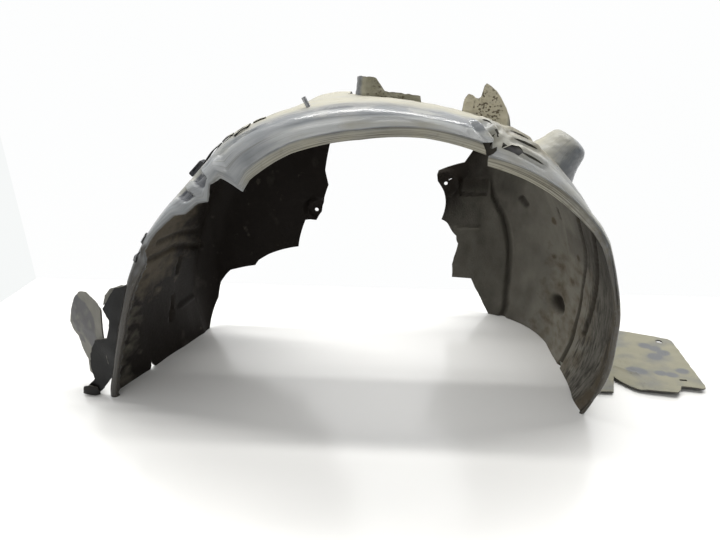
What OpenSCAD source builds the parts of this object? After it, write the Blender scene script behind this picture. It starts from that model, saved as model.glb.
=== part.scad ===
// Front wheel arch liner: one moulding in black plastic, standing on its two legs.
// Lengths are in millimetres. X runs along the car, Y inboard and Z up.
// The section is drawn in polar form round the wheel centre, then lofted over the arch.
// Angles start at the front foot, pass 90 at the crown and end at the rear foot.

/* [Arch] */
// Radius of the arch lip round the wheel centre
arch_r = 360; // [354:1:366]
// Height of the wheel centre above the feet
hub_h = 60; // [56:1:64]
// Thickness of the moulding
wall_t = 3; // [2.6:0.1:3.4]
// Width of the flat strip along the lip
lip_w = 12; // [9:0.5:14]
// Depth of the rounded band behind the lip
band_y = 45; // [40:1:50]

/* [Side walls] */
// Depth of the inboard panel at the front leg
front_y = 255; // [248:1:262]
// Depth of the inboard panel at the rear leg
rear_y = 345; // [338:1:352]
// Corner radius between wall and panel at the front leg
front_fillet = 40; // [34:1:46]
// Corner radius between wall and panel at the rear leg
rear_fillet = 140; // [130:1:145]
// Height of the long pressed ribs
rib_h = 5; // [3:0.5:6]

/* [Strut tower] */
// Depth from the lip to the collar round the strut tower
collar_y = 140; // [136:1:150]
// Height of the collar top above the circle of the lip
collar_rise = 65; // [60:1:75]
// Corner radius of the collar
collar_r = 25; // [18:1:32]

/* [Rear cone] */
// Radius of the foot of the hollow cone
cone_r = 50; // [46:1:54]
// Radius of the top of the hollow cone
cone_top_r = 19; // [16:1:22]
// Height of the cone from its foot to its top
cone_h = 63; // [56:1:70]

/* [Under tray] */
// Height of the under tray above the ground
tray_z = 7; // [5:1:10]
// Reach of the under tray past the lip of the arch
tray_reach = 203; // [195:1:212]

/* [Front flange] */
// Angle by which the torn ear is folded back
ear_fold = 32; // [26:1:38]

/* [Fixings] */
// Bore of the screw holes in the two side tabs
tab_bore = 7; // [6:0.5:9]
// Bore of the clip hole in the under tray
tray_bore = 12; // [10:0.5:14]
// Outer diameter of the rivet left in the band
rivet_d = 6; // [5:0.5:8]

/* [Hidden] */
// Clearance between the clip and the wall that it sits on.
seat = 0.3;

// Each row is an angle and an offset from the arch radius, or a size, at that angle.
LIP = [[-10, 58], [0, 36], [8, 22], [17, 17], [25, 12], [28, 11], [31, 21], [35, 20], [42, 12], [44, 2],
    [48, 0], [50, -8], [51, -3], [53, 8], [56, 5], [58, -24], [61, -15], [68, -8], [72, -5], [87, -3],
    [95, 2], [100, 5], [109, 7], [113, 8], [114, -5], [122, 5], [128, 10], [135, 14], [141, 18], [145, 18],
    [150, 13], [154, 9], [163, 2], [169, -6], [177, -12], [183, -19], [187, -26], [192, -35]];
STRIP = [[20, 6], [28, 5], [35, 3], [53, 3], [58, lip_w], [130, lip_w], [141, 9], [150, 5], [163, 3]];
CREST = [[-10, 72], [0, 50], [8, 38], [17, 32], [28, 32], [44, 31], [53, 36], [60, 45], [68, 46], [80, 43],
    [100, 41], [107, 43], [116, 48], [124, 46], [133, 39], [141, 31], [147, 28], [154, 20], [163, 12],
    [169, 5], [177, -2], [187, -16], [194, -25]];
BAND = [[-10, 9], [20, 9], [28, 14], [40, 30], [58, band_y], [130, band_y], [150, 14], [163, 8]];
BACK = [[-10, -14], [0, -12], [15, -6], [30, 4], [45, 18], [60, 32], [72, 36], [84, 41], [94, 30],
    [104, 26], [122, 34], [140, 20], [160, 4], [180, -16], [194, -26]];
DEPTH = [[60, front_y], [115, rear_y]];
FILLET = [[60, front_fillet], [115, 60], [125, 60], [150, rear_fillet]];
// Depth of the crest of each long rib, and its share of the full height.
NEAR_RIB_Y = [[130, 78], [138, 62], [150, 68], [158, 80], [170, 99], [177, 106], [194, 106]];
NEAR_RIB = [[138, 0], [145, 1], [170, 1], [177, 0]];
FAR_RIB_Y = [[125, 130], [135, 110], [147, 116], [154, 121], [166, 143], [177, 142], [190, 138]];
FAR_RIB = [[135, 0], [141, 1], [187, 1], [190, 0]];
CORNER_RIB = [[122, 0], [128, 1], [194, 1]];
// Radius of the inner edge of the side panels, and of the top edge of the rear tab.
EDGE = [[-10, 341], [0, 316], [10, 299], [12, 292], [17, 247], [20, 243], [25, 228], [37, 188], [51, 214],
    [56, 203], [60, 210], [63, 225], [68, 248], [69, 275], [72, 302], [76, 338], [83, 372], [115, 261],
    [117, 249], [122, 238], [131, 191], [135, 194], [145, 192], [150, 187], [158, 168], [163, 160],
    [173, 156], [175, 195], [183, 209], [190, 228], [194, 244]];
TAB_TOP = [[115, 268], [122, 306]];

// Angles of the sections, closer together where an edge is cut or torn.
ANGLES = [-10, -4, 0, 4, 8, 10, 12, 17, 20, 25, 28, 31, 35, 37, 42, 44, 48, 50, 51, 53, 56, 58, 60, 63,
    68, 69, 72, 76, 80, 83, 87, 91, 95, 100, 104, 109, 113, 114, 115, 117, 122, 125, 128, 131, 135, 138,
    141, 145, 147, 150, 154, 158, 163, 166, 169, 173, 175, 177, 180, 183, 187, 190, 194];
// Half width of a long rib, how steep its sides are, and the rows of points across it.
RIB_HALF = 8;
RIB_STEEP = 1.5;
RIB_ROWS = [-RIB_HALF, -RIB_HALF / 2, 0, RIB_HALF / 2];
// Depth behind the collar from which the strut opening is wider.
ROOF_DEPTH = 170;
BAND_STEPS = 6;
FILLET_STEPS = 6;
CORNER_STEP = 4;
// Strut opening, as its angles at the collar and behind it, and the row where it starts.
COLLAR_SPAN = [87, 117];
ROOF = [83, 122];
ROOF_ROW = 3 + BAND_STEPS + 3 + 2 * len(RIB_ROWS);
TAB = [115, 122];

function lip_r(a) = arch_r + lookup(a, LIP);
function strip_r(a) = lip_r(a) + lookup(a, STRIP);
function crest_r(a) = max(strip_r(a) + 7, arch_r + lookup(a, CREST));
function back_r(a) = arch_r + lookup(a, BACK);
function fillet_r(a) = lookup(a, FILLET);
function depth(a) = lookup(a, DEPTH);
function edge_r(a) = lookup(a, EDGE);
function flat_r(a) = back_r(a) - fillet_r(a);
function has_flat(a) = edge_r(a) < flat_r(a) - 2;
function bump(y, at) = max(0, min(1, RIB_STEEP * (1 - abs(y - at) / RIB_HALF)));
function near_y(a) = lookup(a, NEAR_RIB_Y);
function far_y(a) = lookup(a, FAR_RIB_Y);
function rib(a, y) = rib_h
    * (lookup(a, NEAR_RIB) * bump(y, near_y(a)) + lookup(a, FAR_RIB) * bump(y, far_y(a)));
// Depths of the points along the wall: before, across, between and behind the ribs.
function wall_y(a) = concat(
    [near_y(a) - 2 * RIB_HALF],
    [for (d = RIB_ROWS) near_y(a) + d],
    [near_y(a) + RIB_HALF, (near_y(a) + far_y(a)) / 2],
    [for (d = RIB_ROWS) far_y(a) + d],
    [max(collar_y, far_y(a) + RIB_HALF), ROOF_DEPTH]);
function wall_r(a, y) = let (k = (y - lookup(a, BAND)) / (depth(a) - fillet_r(a) - lookup(a, BAND)))
    crest_r(a) + (back_r(a) - crest_r(a)) * k + rib(a, y);

// Section of the sheet at one angle, as radius and depth, from the lip to the inboard panel.
function band_point(a, i) = let (s = 90 * i / BAND_STEPS)
    [strip_r(a) + 2 + (crest_r(a) - strip_r(a) - 2) * sin(s), lookup(a, BAND) * (1 - cos(s))];
function fillet_end(a) = has_flat(a) ? 90 : acos((edge_r(a) - flat_r(a)) / fillet_r(a));
function fillet_point(a, i) = let (
        s = fillet_end(a) * i / FILLET_STEPS,
        r = fillet_r(a) + (i == CORNER_STEP ? rib_h * lookup(a, CORNER_RIB) : 0))
    [flat_r(a) + r * cos(s), depth(a) - fillet_r(a) + r * sin(s)];
function tab_r(a) = a >= TAB[0] && a <= TAB[1] ? lookup(a, TAB_TOP) : (flat_r(a) + edge_r(a)) / 2;
function section(a) = concat(
    [[lip_r(a), 0], [strip_r(a), 0]],
    [for (i = [0:BAND_STEPS]) band_point(a, i)],
    [for (y = wall_y(a)) [wall_r(a, y), y]],
    [for (i = [0:FILLET_STEPS]) fillet_point(a, i)],
    [[tab_r(a), depth(a)], [edge_r(a), depth(a)]]);

function unit(v) = v / norm(v);
function inward(p, i) = let (d = unit(p[min(i + 1, len(p) - 1)] - p[max(i - 1, 0)])) [-d[1], d[0]];
function is_foot(j) = j == 0 || j == len(ANGLES) - 1;
// A foot section lies flat on the ground, the others stand square to the arch.
function in_space(j, p) = is_foot(j)
    ? [(j == 0 ? -1 : 1) * sqrt(p[0] * p[0] - hub_h * hub_h), p[1], 0]
    : [-p[0] * cos(ANGLES[j]), p[1], hub_h + p[0] * sin(ANGLES[j])];
function side(j, t) = let (p = section(ANGLES[j]))
    [for (i = [0:len(p) - 1]) in_space(j, p[i] + t * inward(p, i))];

rows = len(section(90));
flat_row = rows - 3;
// The sheet is open over the strut, above the rear tab and where the panel has no flat part.
function within(a, b, span) = a >= span[0] && b <= span[1];
function over_strut(a, b, i) = i == ROOF_ROW && within(a, b, COLLAR_SPAN)
    || i > ROOF_ROW && within(a, b, ROOF) && !(i == flat_row + 1 && a >= TAB[0]);
function past_edge(a, b, i) = i >= flat_row && !(has_flat(a) && has_flat(b));
function torn_gap(a, i) = a == 113 && i > 1 && i < 6;
function in_sheet(a, b, i) = !over_strut(a, b, i) && !past_edge(a, b, i) && !torn_gap(a, i);
function kept(j, i) = j >= 0 && j < len(ANGLES) - 1 && i >= 0 && i < rows - 1
    && in_sheet(ANGLES[j], ANGLES[j + 1], i);

// Lofts the sections into one closed sheet of even thickness.
module sheet() {
    m = len(ANGLES);
    far = rows * m;
    points = concat([for (j = [0:m - 1]) each side(j, 0)], [for (j = [0:m - 1]) each side(j, wall_t)]);
    faces = [for (j = [0:m - 2], i = [0:rows - 2]) if (kept(j, i))
        let (k = j * rows + i, n = k + rows) each concat(
            [[k, k + 1, n + 1, n], [far + k, far + n, far + n + 1, far + k + 1]],
            kept(j - 1, i) ? [] : [[k, far + k, far + k + 1, k + 1]],
            kept(j + 1, i) ? [] : [[n, n + 1, far + n + 1, far + n]],
            kept(j, i - 1) ? [] : [[k, n, far + n, far + k]],
            kept(j, i + 1) ? [] : [[k + 1, far + k + 1, far + n + 1, n + 1]])];
    polyhedron(points, faces, convexity = 10);
}

// Extrudes an outline drawn in X and Z along Y, from one depth to another.
module upright(from, to) {
    translate([0, to, 0])
        rotate([90, 0, 0])
            linear_extrude(to - from)
                children();
}

// Point of the sheet in the plan at a small height above the ground, outside one of the feet.
function foot_x(a, y, z) = let (r = y > depth(a) - fillet_r(a)
        ? flat_r(a) + sqrt(pow(fillet_r(a), 2) - pow(y - depth(a) + fillet_r(a), 2))
        : wall_r(a, y))
    sqrt(r * r - pow(hub_h - z, 2));

// Upturned collar round three sides of the strut opening, with its top edge broken away.
COLLAR_X = [-32, 206];
COLLAR_BACK = 27;
COLLAR_IN = 0.5;
collar_top = hub_h + arch_r + collar_rise;
COLLAR_TOP = [[-50, -4], [-30, 0], [-4, 0], [9, -18], [64, -25], [66, -60], [124, -60], [124, -33],
    [130, -22], [137, -23], [146, -28], [151, -27], [154, -12], [160, -9], [172, -17], [180, -26],
    [188, -40], [196, -56], [215, -60], [215, -100], [-50, -100]];

function arc(c, r, from, to) = [for (i = [0:6])
    let (s = from + (to - from) * i / 6) c + r * [cos(s), sin(s)]];
function collar_wall(r) = concat(
    [[COLLAR_X[0] + collar_r - r, collar_y + COLLAR_BACK]],
    arc([COLLAR_X[0] + collar_r, collar_y + collar_r - wall_t - COLLAR_IN], r, 180, 270),
    arc([COLLAR_X[1] - collar_r, collar_y + collar_r - wall_t - COLLAR_IN], r, 270, 360),
    [[COLLAR_X[1] - collar_r + r, collar_y + COLLAR_BACK]]);
function reversed(v) = [for (i = [len(v) - 1:-1:0]) v[i]];

function polar(a, r) = [-r * cos(a), hub_h + r * sin(a)];
module collar() {
    back = collar_y + COLLAR_BACK;
    difference() {
        intersection() {
            linear_extrude(collar_top)
                polygon(concat(collar_wall(collar_r), reversed(collar_wall(collar_r - wall_t))));
            upright(collar_y - 2 * wall_t, back + wall_t)
                translate([0, collar_top])
                    polygon(COLLAR_TOP);
        }
        // The lower edge follows the roof, inside its thickness.
        upright(collar_y - 3 * wall_t, back + 2 * wall_t)
            polygon(concat(
                [[0, hub_h]],
                [for (a = [ROOF[0] - 6:3:ROOF[1] + 3]) polar(a, wall_r(a, back) - wall_t / 3)]));
    }
}

// Turns children so that Z points away from the wheel centre at one angle round the arch.
module on_arch(a, y) {
    translate([0, y, hub_h])
        rotate([0, a - 90, 0])
            children();
}

// Hollow cone pressed out of the wall behind the rear shoulder, rounded at the top.
CONE_A = 129.5;
CONE_Y = 108;
CONE_ROUND = 10;
// The foot of the cone lies inside the wall, and its side runs into the round at this angle.
CONE_FOOT = 22;
CONE_TURN = 30;
// The hollow of a pressed form reaches this far below its foot, so that it opens through the wall.
HOLLOW_DEEP = 20;
cone_foot = arch_r + CONE_FOOT;
module cone(shrink) {
    bottom = shrink > 0 ? -HOLLOW_DEEP : 0;
    top = cone_h - shrink;
    on_arch(CONE_A, CONE_Y)
        translate([0, 0, cone_foot])
            rotate_extrude()
                polygon(concat(
                    [[0, bottom], [cone_r - shrink, bottom], [cone_r - shrink, 4]],
                    arc([cone_top_r - shrink, top - CONE_ROUND], CONE_ROUND, CONE_TURN, 90),
                    [[0, top]]));
}

// Round dent pressed out of the rear leg where the wall turns into the corner.
DENT_UP = 22;
DENT_BACK = 7;
DENT_R = 17;
DENT_TOP_R = 8;
DENT_H = 8;
DENT_LEAN = -4;
dent_a = 180 - asin(DENT_UP / back_r(180));
dent_y = rear_y - rear_fillet + DENT_BACK;
module dent(shrink) {
    reach = DENT_H - shrink;
    start = shrink > 0 ? -HOLLOW_DEEP : -wall_t / 2;
    foot = DENT_R - shrink;
    on_arch(dent_a, dent_y)
        translate([0, 0, back_r(dent_a)])
            rotate([DENT_LEAN, 0, 0])
                rotate_extrude()
                    polygon([[0, start], [foot, start], [foot, 0],
                        [DENT_TOP_R - shrink / 2, reach], [0, reach]]);
}

// Bolting flange outside the front leg, with its torn outer edge as angles and offsets.
FLANGE_EDGE = [[21.5, 27], [20.4, 35], [19.4, 46], [18, 50], [13.7, 60], [11.1, 49], [8.6, 51],
    [6.5, 55], [5.6, 74], [3.6, 81], [1.9, 86], [-0.9, 90], [-3.9, 88], [-5.3, 101], [-6.4, 113],
    [-7.3, 107], [-7.4, 90], [-6.6, 80], [-3.7, 60], [-7.2, 58]];
FLANGE_Y = 4;
module flange() {
    upright(FLANGE_Y, FLANGE_Y + wall_t)
        polygon(concat(
            [for (e = FLANGE_EDGE) polar(e[0], arch_r + e[1])],
            [for (a = [-7:4:22]) polar(a, (strip_r(a) + crest_r(a)) / 2)]));
}

// Ear that hangs behind the flange, drawn flat from its fold and then turned back.
EAR = [[2, 112], [-2, 150], [-17, 160], [-45, 168], [-60, 162], [-73, 145], [-91, 118], [-97, 103],
    [-84, 86], [-75, 84], [-68, 57], [-60, 46], [-62, 20], [-36, 14], [4, 40]];
EAR_X = 62;
EAR_REACH = 97;
module ear() {
    translate([-arch_r - EAR_X, FLANGE_Y + wall_t / 2, 0])
        rotate([0, 0, -ear_fold])
            upright(0, wall_t)
                polygon(EAR);
}

// Flat tray outside the rear leg, measured back from its far edge.
TRAY = [[-216, 60], [-168, 58], [-153, 100], [-143, 84], [-123, 66], [-66, 57], [-52, 76], [-20, 72],
    [-12, 80], [-1, 213], [0, 226], [-14, 236], [-83, 262], [-210, 252]];
TRAY_STEP = 32;
TRAY_HOLE = [-25, 221];
TRAY_SLOT = [-40, 95];
SLOT = [12, 4];
FOOT_A = 189;
// Depths of the points where the tray follows the outside of the foot.
TRAY_Y = [TRAY[len(TRAY) - 1][1]:-TRAY_STEP:TRAY[0][1]];
module tray() {
    far = arch_r + tray_reach;
    translate([0, 0, tray_z])
        linear_extrude(wall_t)
            polygon(concat(
                [for (p = TRAY) p + [far, 0]],
                [for (y = TRAY_Y) [foot_x(FOOT_A, y, tray_z) - wall_t / 2, y]]));
}
module tray_holes() {
    translate([arch_r + tray_reach, 0, tray_z - 1]) {
        translate(TRAY_HOLE)
            cylinder(h = wall_t + 2, d = tray_bore);
        translate(TRAY_SLOT - SLOT / 2)
            cube([SLOT[0], SLOT[1], wall_t + 2]);
    }
}

// Screw holes in the tabs of the two side panels, measured from the wheel centre.
FRONT_TAB = [-113, 187];
REAR_TAB = [129, 218];
module tab_hole(at, y) {
    translate([at[0], y - wall_t - 1, hub_h + at[1]])
        rotate([-90, 0, 0])
            cylinder(h = wall_t + 2, d = tab_bore);
}

// Place of the rivet in the band, leaning towards the front leg.
RIVET_A = 77;
RIVET_Y = 38;
RIVET_LEAN = -15;
RIVET_L = 20;
RIVET_IN = 7;
module rivet_place() {
    on_arch(RIVET_A, RIVET_Y)
        translate([0, 0, wall_r(RIVET_A, band_y)])
            rotate([0, RIVET_LEAN, 0])
                translate([0, 0, -RIVET_IN])
                    children();
}

// Place of the clip on the shoulder of the front leg.
CLIP_A = 50.3;
CLIP_Y = 52;
CLIP = [27, 14, 7];
// Slopes of the wall under the clip, along the arch and across it.
clip_rise = wall_r(CLIP_A + 2, CLIP_Y) - wall_r(CLIP_A - 2, CLIP_Y);
clip_lean = atan(clip_rise / (wall_r(CLIP_A, CLIP_Y) * 2 * sin(2)));
clip_tilt = atan((wall_r(CLIP_A, CLIP_Y + 5) - wall_r(CLIP_A, CLIP_Y - 5)) / 10);
module clip_place() {
    on_arch(CLIP_A, CLIP_Y)
        translate([0, 0, wall_r(CLIP_A, CLIP_Y) + seat])
            rotate([clip_tilt, -clip_lean, 0])
                children();
}

module liner() {
    color("dimgray")
        difference() {
            union() {
                sheet();
                collar();
                cone(0);
                dent(0);
                flange();
                ear();
                tray();
            }
            cone(wall_t);
            dent(wall_t);
            tray_holes();
            tab_hole(FRONT_TAB, front_y);
            tab_hole(REAR_TAB, rear_y);
            rivet_place()
                cylinder(h = RIVET_L, d = rivet_d);
        }
}

// Push-on clip with rounded ends, seated on the outer shoulder.
CLIP_ROUND = 2;
clip_end = CLIP[0] / 2 - CLIP_ROUND;
module edge_clip() {
    color("black")
        clip_place()
            difference() {
                translate([0, CLIP[1] / 2, 0])
                    rotate([90, 0, 0])
                        linear_extrude(CLIP[1])
                            polygon(concat(
                                [[-CLIP[0] / 2, 0], [CLIP[0] / 2, 0]],
                                arc([clip_end, CLIP[2] - CLIP_ROUND], CLIP_ROUND, 0, 90),
                                arc([-clip_end, CLIP[2] - CLIP_ROUND], CLIP_ROUND, 90, 180)));
                translate([-CLIP[0] / 4, -CLIP[1], CLIP[2] / 2])
                    cube([CLIP[0] / 2, CLIP[1] * 0.8, 1.5]);
            }
}

// Hollow rivet left standing in the band, open at its outer end.
RIVET_BORE = 0.6;
module rivet() {
    color("silver")
        rivet_place()
            difference() {
                cylinder(h = RIVET_L, d = rivet_d);
                translate([0, 0, RIVET_L / 2])
                    cylinder(h = RIVET_L, d = rivet_d * RIVET_BORE);
            }
}

// The origin is below the middle of the outer sizes, so that the feet stand on the ground plane.
ear_tip = arch_r + EAR_X + EAR_REACH * cos(ear_fold);
mid = [(arch_r + tray_reach - ear_tip) / 2, rear_y / 2];
translate([-mid[0], -mid[1], 0]) {
    liner();
    edge_clip();
    rivet();
}
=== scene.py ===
"""Front wheel arch liner, torn off its car, standing on its two legs in a white photo booth.

The liner is one moulding. Its sheet is cut from a flat pattern, laid over the arch and pressed with
ribs and dents; the collar, cone, flange, ear and tray are formed onto it. Lengths are millimetres
from the wheel centre's foot on the ground, with the lip of the arch at depth 0.
"""

import math

import bpy
import numpy as np
from mathutils import Matrix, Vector
from mathutils.geometry import delaunay_2d_cdt
from mathutils.kdtree import KDTree


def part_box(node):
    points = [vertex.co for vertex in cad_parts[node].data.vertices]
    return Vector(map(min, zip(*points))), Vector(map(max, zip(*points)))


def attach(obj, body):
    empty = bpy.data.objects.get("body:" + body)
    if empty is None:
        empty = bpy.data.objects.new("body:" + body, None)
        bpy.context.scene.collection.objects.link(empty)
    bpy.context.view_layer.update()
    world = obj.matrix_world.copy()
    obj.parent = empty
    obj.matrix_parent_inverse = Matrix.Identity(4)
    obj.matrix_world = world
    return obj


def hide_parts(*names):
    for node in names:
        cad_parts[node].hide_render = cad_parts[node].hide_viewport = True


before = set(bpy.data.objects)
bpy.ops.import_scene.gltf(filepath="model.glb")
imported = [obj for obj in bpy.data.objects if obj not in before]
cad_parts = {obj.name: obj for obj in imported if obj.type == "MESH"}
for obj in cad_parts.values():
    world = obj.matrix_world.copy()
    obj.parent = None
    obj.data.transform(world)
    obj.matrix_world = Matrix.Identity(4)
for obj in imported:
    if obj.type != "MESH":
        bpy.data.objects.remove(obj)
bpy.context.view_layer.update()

MM = 0.001
TRAY_END = 563
LINER_LOW, LINER_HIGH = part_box("liner")
WHEEL_X = LINER_HIGH.x / MM - TRAY_END
LIP_DEPTH = LINER_LOW.y / MM


def to_frame(points):
    """Points in millimetres from the wheel centre's foot, as metres in the row frame."""
    return (np.asarray(points, float) + (WHEEL_X, LIP_DEPTH, 0)) * MM


# Camera: low and close, as the liner was photographed
CAMERA_AT = (20, -700, 535)
LENS_MM = 27
PITCH = math.radians(23.12)
YAW = math.radians(-3.18)
ROLL = math.radians(0.26)


def add_camera():
    """Camera looking down at the arch from in front of its lip."""
    level = math.cos(PITCH)
    forward = np.array([math.sin(YAW) * level, math.cos(YAW) * level, -math.sin(PITCH)])
    side = np.array([math.cos(YAW), -math.sin(YAW), 0])
    up = np.cross(side, forward)
    right = math.cos(ROLL) * side + math.sin(ROLL) * up
    top = math.cos(ROLL) * up - math.sin(ROLL) * side
    camera = bpy.data.objects.new("camera", bpy.data.cameras.new("camera"))
    camera.data.lens = LENS_MM
    camera.data.clip_end = 20
    turn = Matrix([(right[i], top[i], -forward[i]) for i in range(3)]).to_4x4()
    camera.matrix_world = Matrix.Translation(to_frame(CAMERA_AT)) @ turn
    bpy.context.collection.objects.link(camera)
    bpy.context.scene.camera = camera


add_camera()


# Shapes of the sheet, as an angle round the arch and an offset or a size. The outlines and marks, here
# and below, start from points picked on the photograph, which a calculation with its camera put on the
# part. Most are rounded, and some were moved since to fit. What it doesn't show is judged.
ARCH_R = 360
HUB_H = 60
WALL_T = 3
LIP = [[-10, 58], [0, 36], [8, 22], [17, 17], [25, 12], [28, 11], [31, 21], [35, 20], [42, 12], [44, 2],
       [48, 0], [50, -8], [51, -3], [53, 8], [56, 5], [58, -24], [61, -15], [68, -8], [72, -5], [87, -3],
       [95, 2], [100, 5], [109, 7], [112.7, 8], [113, -5], [122, 5], [128, 10], [135, 14], [141, 18],
       [145, 18], [150, 13], [154, 9], [163, 2], [169, -6], [177, -12], [183, -19], [187, -26], [192, -35]]
STRIP = [[20, 6], [28, 5], [35, 3], [53, 3], [58, 12], [130, 12], [141, 9], [150, 5], [163, 3]]
CREST = [[-10, 72], [0, 50], [8, 38], [17, 32], [28, 32], [44, 31], [53, 36], [60, 45], [68, 46],
         [80, 43], [100, 41], [107, 43], [116, 48], [124, 46], [133, 39], [141, 31], [147, 28], [154, 20],
         [163, 12], [169, 5], [177, -2], [187, -16], [194, -25]]
BAND = [[-10, 9], [20, 9], [28, 14], [40, 30], [58, 45], [130, 45], [150, 14], [163, 8]]
BACK = [[-10, -14], [0, -12], [15, -6], [30, 4], [45, 18], [60, 32], [70, 36], [77, 42], [84, 37], [94, 30],
        [104, 26], [122, 34], [140, 20], [160, 4], [180, -16], [194, -26]]
DEPTH = [[60, 255], [115, 345]]
FILLET = [[60, 40], [115, 60], [125, 60], [150, 140]]
EDGE = [[-10, 341], [0, 316], [10, 299], [12, 292], [17, 247], [20, 243], [25, 228], [37, 188], [51, 214],
        [56, 203], [60, 210], [63, 225], [68, 248], [69, 275], [72, 302], [76, 338], [83, 372],
        [115, 261], [117, 249], [122, 238], [131, 191], [135, 194], [145, 192], [150, 187], [158, 168],
        [163, 160], [173, 156], [175, 195], [183, 209], [190, 228], [194, 244]]
TAB_TOP = [[115, 268], [122, 306]]
# Where the strut tower passes through the roof, from depth 140 and wider from 170.
COLLAR_SPAN = (87, 117)
ROOF_SPAN = (83, 122)
COLLAR_Y = 140
ROOF_Y = 170

# Slits torn in the band, as angles and shares of the way from groove to crest.
SLITS = [
    [(118.4, 0.32), (120.6, 0.32), (123.6, 0.32)],
    [(116.4, 0.57), (118.8, 0.62), (121.6, 0.68)],
    [(115.4, 0.76), (117.7, 0.80), (119.7, 0.87)],
    [(109.8, 0.76), (112.8, 0.64)],
    [(112.2, 0.47), (113.5, 0.42)],
]

# The flat pattern: a degree of arch counts as this many millimetres, and a section is
# laid out from the lip as a strip, a groove, the band, the wall, the corner and the panel.
DEGREE = 6.4
V_GROOVE = 12
V_BAND = 15
V_WALL = 75
V_CORNER = 265
V_PANEL = 425


def curve(table):
    """Smooth line through the rows of a table, flat at its peaks."""
    x, y = np.array(table, float).T
    step = np.diff(x)
    slope = np.diff(y) / step
    tangent = np.zeros(len(x))
    both = slope[:-1] * slope[1:]
    steady = both > 0
    tangent[1:-1][steady] = 2 * both[steady] / (slope[:-1] + slope[1:])[steady]

    def value(q):
        q = np.clip(q, x[0], x[-1])
        k = np.clip(np.searchsorted(x, q) - 1, 0, len(x) - 2)
        t = (q - x[k]) / step[k]
        rise = t * t * (3 - 2 * t)
        ease = t * (1 - t) ** 2 * tangent[k] - t * t * (1 - t) * tangent[k + 1]
        return y[k] + (y[k + 1] - y[k]) * rise + step[k] * ease

    return value


def torn(table):
    """Straight line through the rows of a table, for an edge that was cut or torn."""
    x, y = np.array(table, float).T
    return lambda q: np.interp(q, x, y)


lip_line = torn(LIP)
strip_line = curve(STRIP)
crest_line = curve(CREST)
band_line = curve(BAND)
back_line = curve(BACK)
depth_line = torn(DEPTH)
corner_line = curve(FILLET)
edge_line = torn(EDGE)
# The edge of the lip is rolled back a little, and more on the legs.
curl_line = curve([[26, 7], [36, 3], [58, 1.5], [150, 1.5], [175, 4]])


def section(a, v):
    """Radius and depth of the outside of the sheet at an angle and a distance round its section."""
    strip = ARCH_R + lip_line(a) + strip_line(a)
    crest = np.maximum(strip + 7, ARCH_R + crest_line(a))
    back = ARCH_R + back_line(a)
    band = band_line(a)
    corner = corner_line(a)
    wall_end = depth_line(a) - corner
    s = np.radians(90) * np.clip((v - V_BAND) / (V_WALL - V_BAND), 0, 1)
    w = np.clip((v - V_WALL) / (V_CORNER - V_WALL), 0, 1)
    t = np.radians(90) * np.clip((v - V_CORNER) / (V_PANEL - V_CORNER), 0, 1)
    zones = [v < V_GROOVE, v < V_BAND, v < V_WALL, v < V_CORNER, v < V_PANEL]
    radius = np.select(zones, [
        strip - strip_line(a) * (1 - v / V_GROOVE),
        strip + 2 * (v - V_GROOVE) / (V_BAND - V_GROOVE),
        strip + 2 + (crest - strip - 2) * np.sin(s),
        crest + (back - crest) * w,
        back - corner + corner * np.cos(t)], back - corner - (v - V_PANEL))
    depth = np.select(zones, [
        curl_line(a) * np.clip(1 - v / 9, 0, 1) ** 2,
        0 * v,
        band * (1 - np.cos(s)),
        band + (wall_end - band) * w,
        wall_end + corner * np.sin(t)], wall_end + corner)
    return radius, depth


def polar(a, radius, depth):
    """Points at an angle round the arch, a radius and a depth."""
    a = np.radians(a)
    return np.stack([-radius * np.cos(a), depth + 0 * radius, HUB_H + radius * np.sin(a)], -1)


def on_sheet(q):
    """Points of the outside of the sheet for points of the flat pattern."""
    a = q[:, 0] / DEGREE
    return polar(a, *section(a, q[:, 1]))


def wall_v(a, y):
    """Distance round the section at which the wall reaches a depth."""
    band = band_line(a)
    return V_WALL + (V_CORNER - V_WALL) * (y - band) / (depth_line(a) - corner_line(a) - band)


def band(a, t):
    """Point of the rounded band: its angle and its share of the way from groove to crest."""
    return (a, V_BAND + (V_WALL - V_BAND) * t)


def panel_v(a, radius):
    """Distance round the section at which the corner or the panel comes in to a radius."""
    corner = corner_line(a)
    flat = ARCH_R + back_line(a) - corner
    turn = np.degrees(np.arccos(np.clip((radius - flat) / corner, 0, 1)))
    return np.where(radius < flat, V_PANEL + flat - radius, V_CORNER + (V_PANEL - V_CORNER) * turn / 90)


def on_panel(x, z):
    """Point of the flat pattern for a point seen on a side panel."""
    a = np.degrees(np.arctan2(z - HUB_H, -np.asarray(x, float)))
    return np.stack([a * DEGREE, panel_v(a, np.hypot(x, z - HUB_H))], -1)


def foot_angle(v, rear):
    """Angle at which a foot meets the ground, for each distance round the section."""
    a = np.full(np.shape(v), 190.0 if rear else -9.0)
    for _ in range(12):
        radius, _depth = section(a, v)
        lean = np.degrees(np.arcsin(HUB_H / radius))
        a = 180 + lean if rear else -lean
    return a


# Drawing tools
SHARP_FROM = math.radians(38)
# The inner side of a piece takes its noise from another layer, this far off in the flat pattern.
INNER_NOISE = 60


def ease(x):
    """Smooth step from 0 to 1."""
    x = np.clip(x, 0, 1)
    return x * x * (3 - 2 * x)


def ramp(x, start, end):
    """Smooth step of x between two values, rising or falling."""
    return ease((x - start) / (end - start))


def hill(x, start, top, fall, end):
    """Rises between the first two values and falls between the last two."""
    return ramp(x, start, top) * ramp(x, end, fall)


def ripple(points, size, seed):
    """Soft uneven waves of about a size in millimetres, between -1 and 1."""
    rng = np.random.default_rng(seed)
    total = 0
    for _ in range(7):
        way = rng.normal(size=points.shape[1])
        way *= 2 * math.pi / (size * rng.uniform(0.7, 1.5) * np.linalg.norm(way))
        total = total + np.sin(points @ way + rng.uniform(0, 6.3))
    return total / 4


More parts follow.
